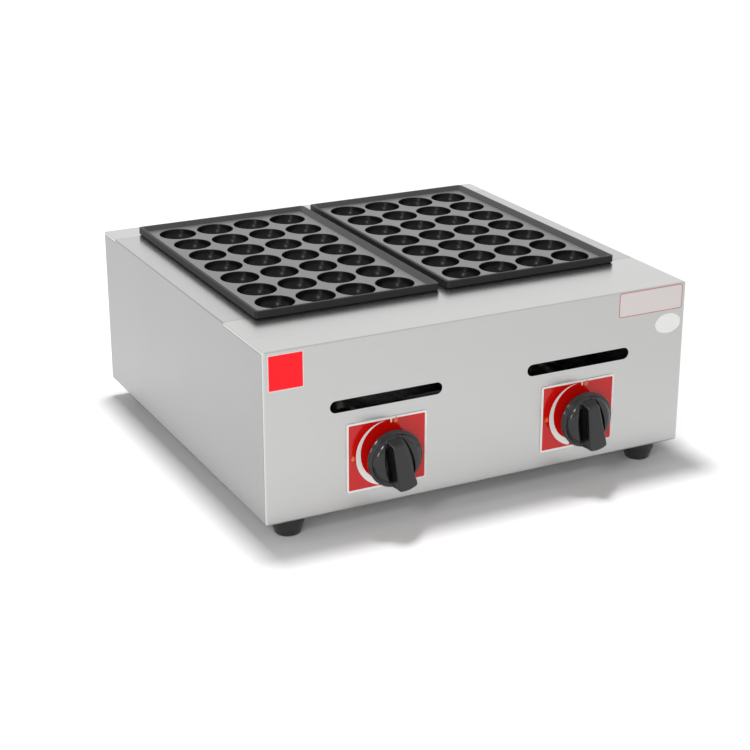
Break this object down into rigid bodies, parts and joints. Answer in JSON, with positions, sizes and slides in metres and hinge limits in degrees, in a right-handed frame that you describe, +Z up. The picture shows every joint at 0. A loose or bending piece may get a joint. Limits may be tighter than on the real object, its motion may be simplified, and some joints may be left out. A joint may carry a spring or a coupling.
{
  "type": "takoyaki maker",
  "caption": "Countertop gas takoyaki maker: stainless box, side-by-side lift-off cast plates with round wells, push-and-turn gas knobs, flame slots, rubber feet",
  "frame": {"origin": "on the table, under the middle of the whole outline, knob faces and hose tail included", "axes": "+Z up, the front with the knobs looks towards -Y, +X to the right as seen from the front"},
  "size_m": [0.47, 0.5, 0.205],
  "materials": {
    "stainless": "fine brushed stainless steel",
    "zinc_plate": "zinc plated",
    "plate_coating": "cast, with a black satin non-stick coating",
    "dial_red": "gloss print",
    "knob_black": "gloss",
    "brass": "turned",
    "burner_steel": "dull welded tube",
    "ceramic": "glazed",
    "lead_sleeve": "satin silicone",
    "foot_rubber": "matt moulded"
  },
  "bodies": {
    "stove": {"front_panel": "stainless", "rear_panel": "stainless", "left_side_panel": "stainless", "right_side_panel": "stainless", "centre_rail": "stainless", "base_plate": "zinc_plate", "front_burner_bar": "zinc_plate", "rear_burner_bar": "zinc_plate", "left_dial_plate": "dial_red", "right_dial_plate": "dial_red", "left_return_spring": "zinc_plate", "right_return_spring": "zinc_plate", "left_valve_body": "brass", "right_valve_body": "brass", "left_valve_bonnet": "zinc_plate", "right_valve_bonnet": "zinc_plate", "left_valve_clamp": "zinc_plate", "right_valve_clamp": "zinc_plate", "left_clamp_screw_1": "zinc_plate", "left_clamp_screw_2": "zinc_plate", "right_clamp_screw_1": "zinc_plate", "right_clamp_screw_2": "zinc_plate", "left_jet": "brass", "right_jet": "brass", "left_igniter": "knob_black", "right_igniter": "knob_black", "left_electrode": "ceramic", "right_electrode": "ceramic", "left_electrode_holder": "zinc_plate", "right_electrode_holder": "zinc_plate", "left_ignition_lead": "lead_sleeve", "right_ignition_lead": "lead_sleeve", "left_burner": "burner_steel", "right_burner": "burner_steel", "gas_rail": "zinc_plate", "hose_tail": "brass", "hose_tail_nut": "brass", "front_left_foot": "foot_rubber", "front_right_foot": "foot_rubber", "rear_left_foot": "foot_rubber", "rear_right_foot": "foot_rubber", "front_left_foot_screw": "zinc_plate", "front_right_foot_screw": "zinc_plate", "rear_left_foot_screw": "zinc_plate", "rear_right_foot_screw": "zinc_plate", "front_left_foot_nut": "zinc_plate", "front_right_foot_nut": "zinc_plate", "rear_left_foot_nut": "zinc_plate", "rear_right_foot_nut": "zinc_plate"},
    "left_plate": {"left_plate": "plate_coating"},
    "right_plate": {"right_plate": "plate_coating"},
    "left_push": {"left_spring_washer": "zinc_plate"},
    "right_push": {"right_spring_washer": "zinc_plate"},
    "left_knob": {"left_knob": "knob_black", "left_spindle": "zinc_plate"},
    "right_knob": {"right_knob": "knob_black", "right_spindle": "zinc_plate"},
    "left_air_shutter": {"left_air_shutter": "zinc_plate"},
    "right_air_shutter": {"right_air_shutter": "zinc_plate"}
  },
  "joints": [
    {"name": "left_plate_lift", "type": "slide", "parent": "stove", "child": "left_plate", "axis": [0, 0, 1], "range_m": [0, 0.1]},
    {"name": "right_plate_lift", "type": "slide", "parent": "stove", "child": "right_plate", "axis": [0, 0, 1], "range_m": [0, 0.1]},
    {"name": "left_knob_push", "type": "slide", "parent": "stove", "child": "left_push", "axis": [0, 1, 0], "range_m": [0, 0.004], "stiffness_N_per_m": 1500, "springref_m": -0.002, "deforming": ["left_return_spring"]},
    {"name": "right_knob_push", "type": "slide", "parent": "stove", "child": "right_push", "axis": [0, 1, 0], "range_m": [0, 0.004], "stiffness_N_per_m": 1500, "springref_m": -0.002, "deforming": ["right_return_spring"]},
    {"name": "left_knob_turn", "type": "hinge", "parent": "left_push", "child": "left_knob", "pos_m": [-0.1083, -0.23, 0.0745], "axis": [0, -1, 0], "range_deg": [0, 150]},
    {"name": "right_knob_turn", "type": "hinge", "parent": "right_push", "child": "right_knob", "pos_m": [0.1083, -0.23, 0.0745], "axis": [0, -1, 0], "range_deg": [0, 150]},
    {"name": "left_air_shutter_turn", "type": "hinge", "parent": "stove", "child": "left_air_shutter", "pos_m": [-0.1083, -0.144, 0.0745], "axis": [0, -1, 0], "range_deg": [0, 60]},
    {"name": "right_air_shutter_turn", "type": "hinge", "parent": "stove", "child": "right_air_shutter", "pos_m": [0.1083, -0.144, 0.0745], "axis": [0, -1, 0], "range_deg": [0, 60]}
  ]
}
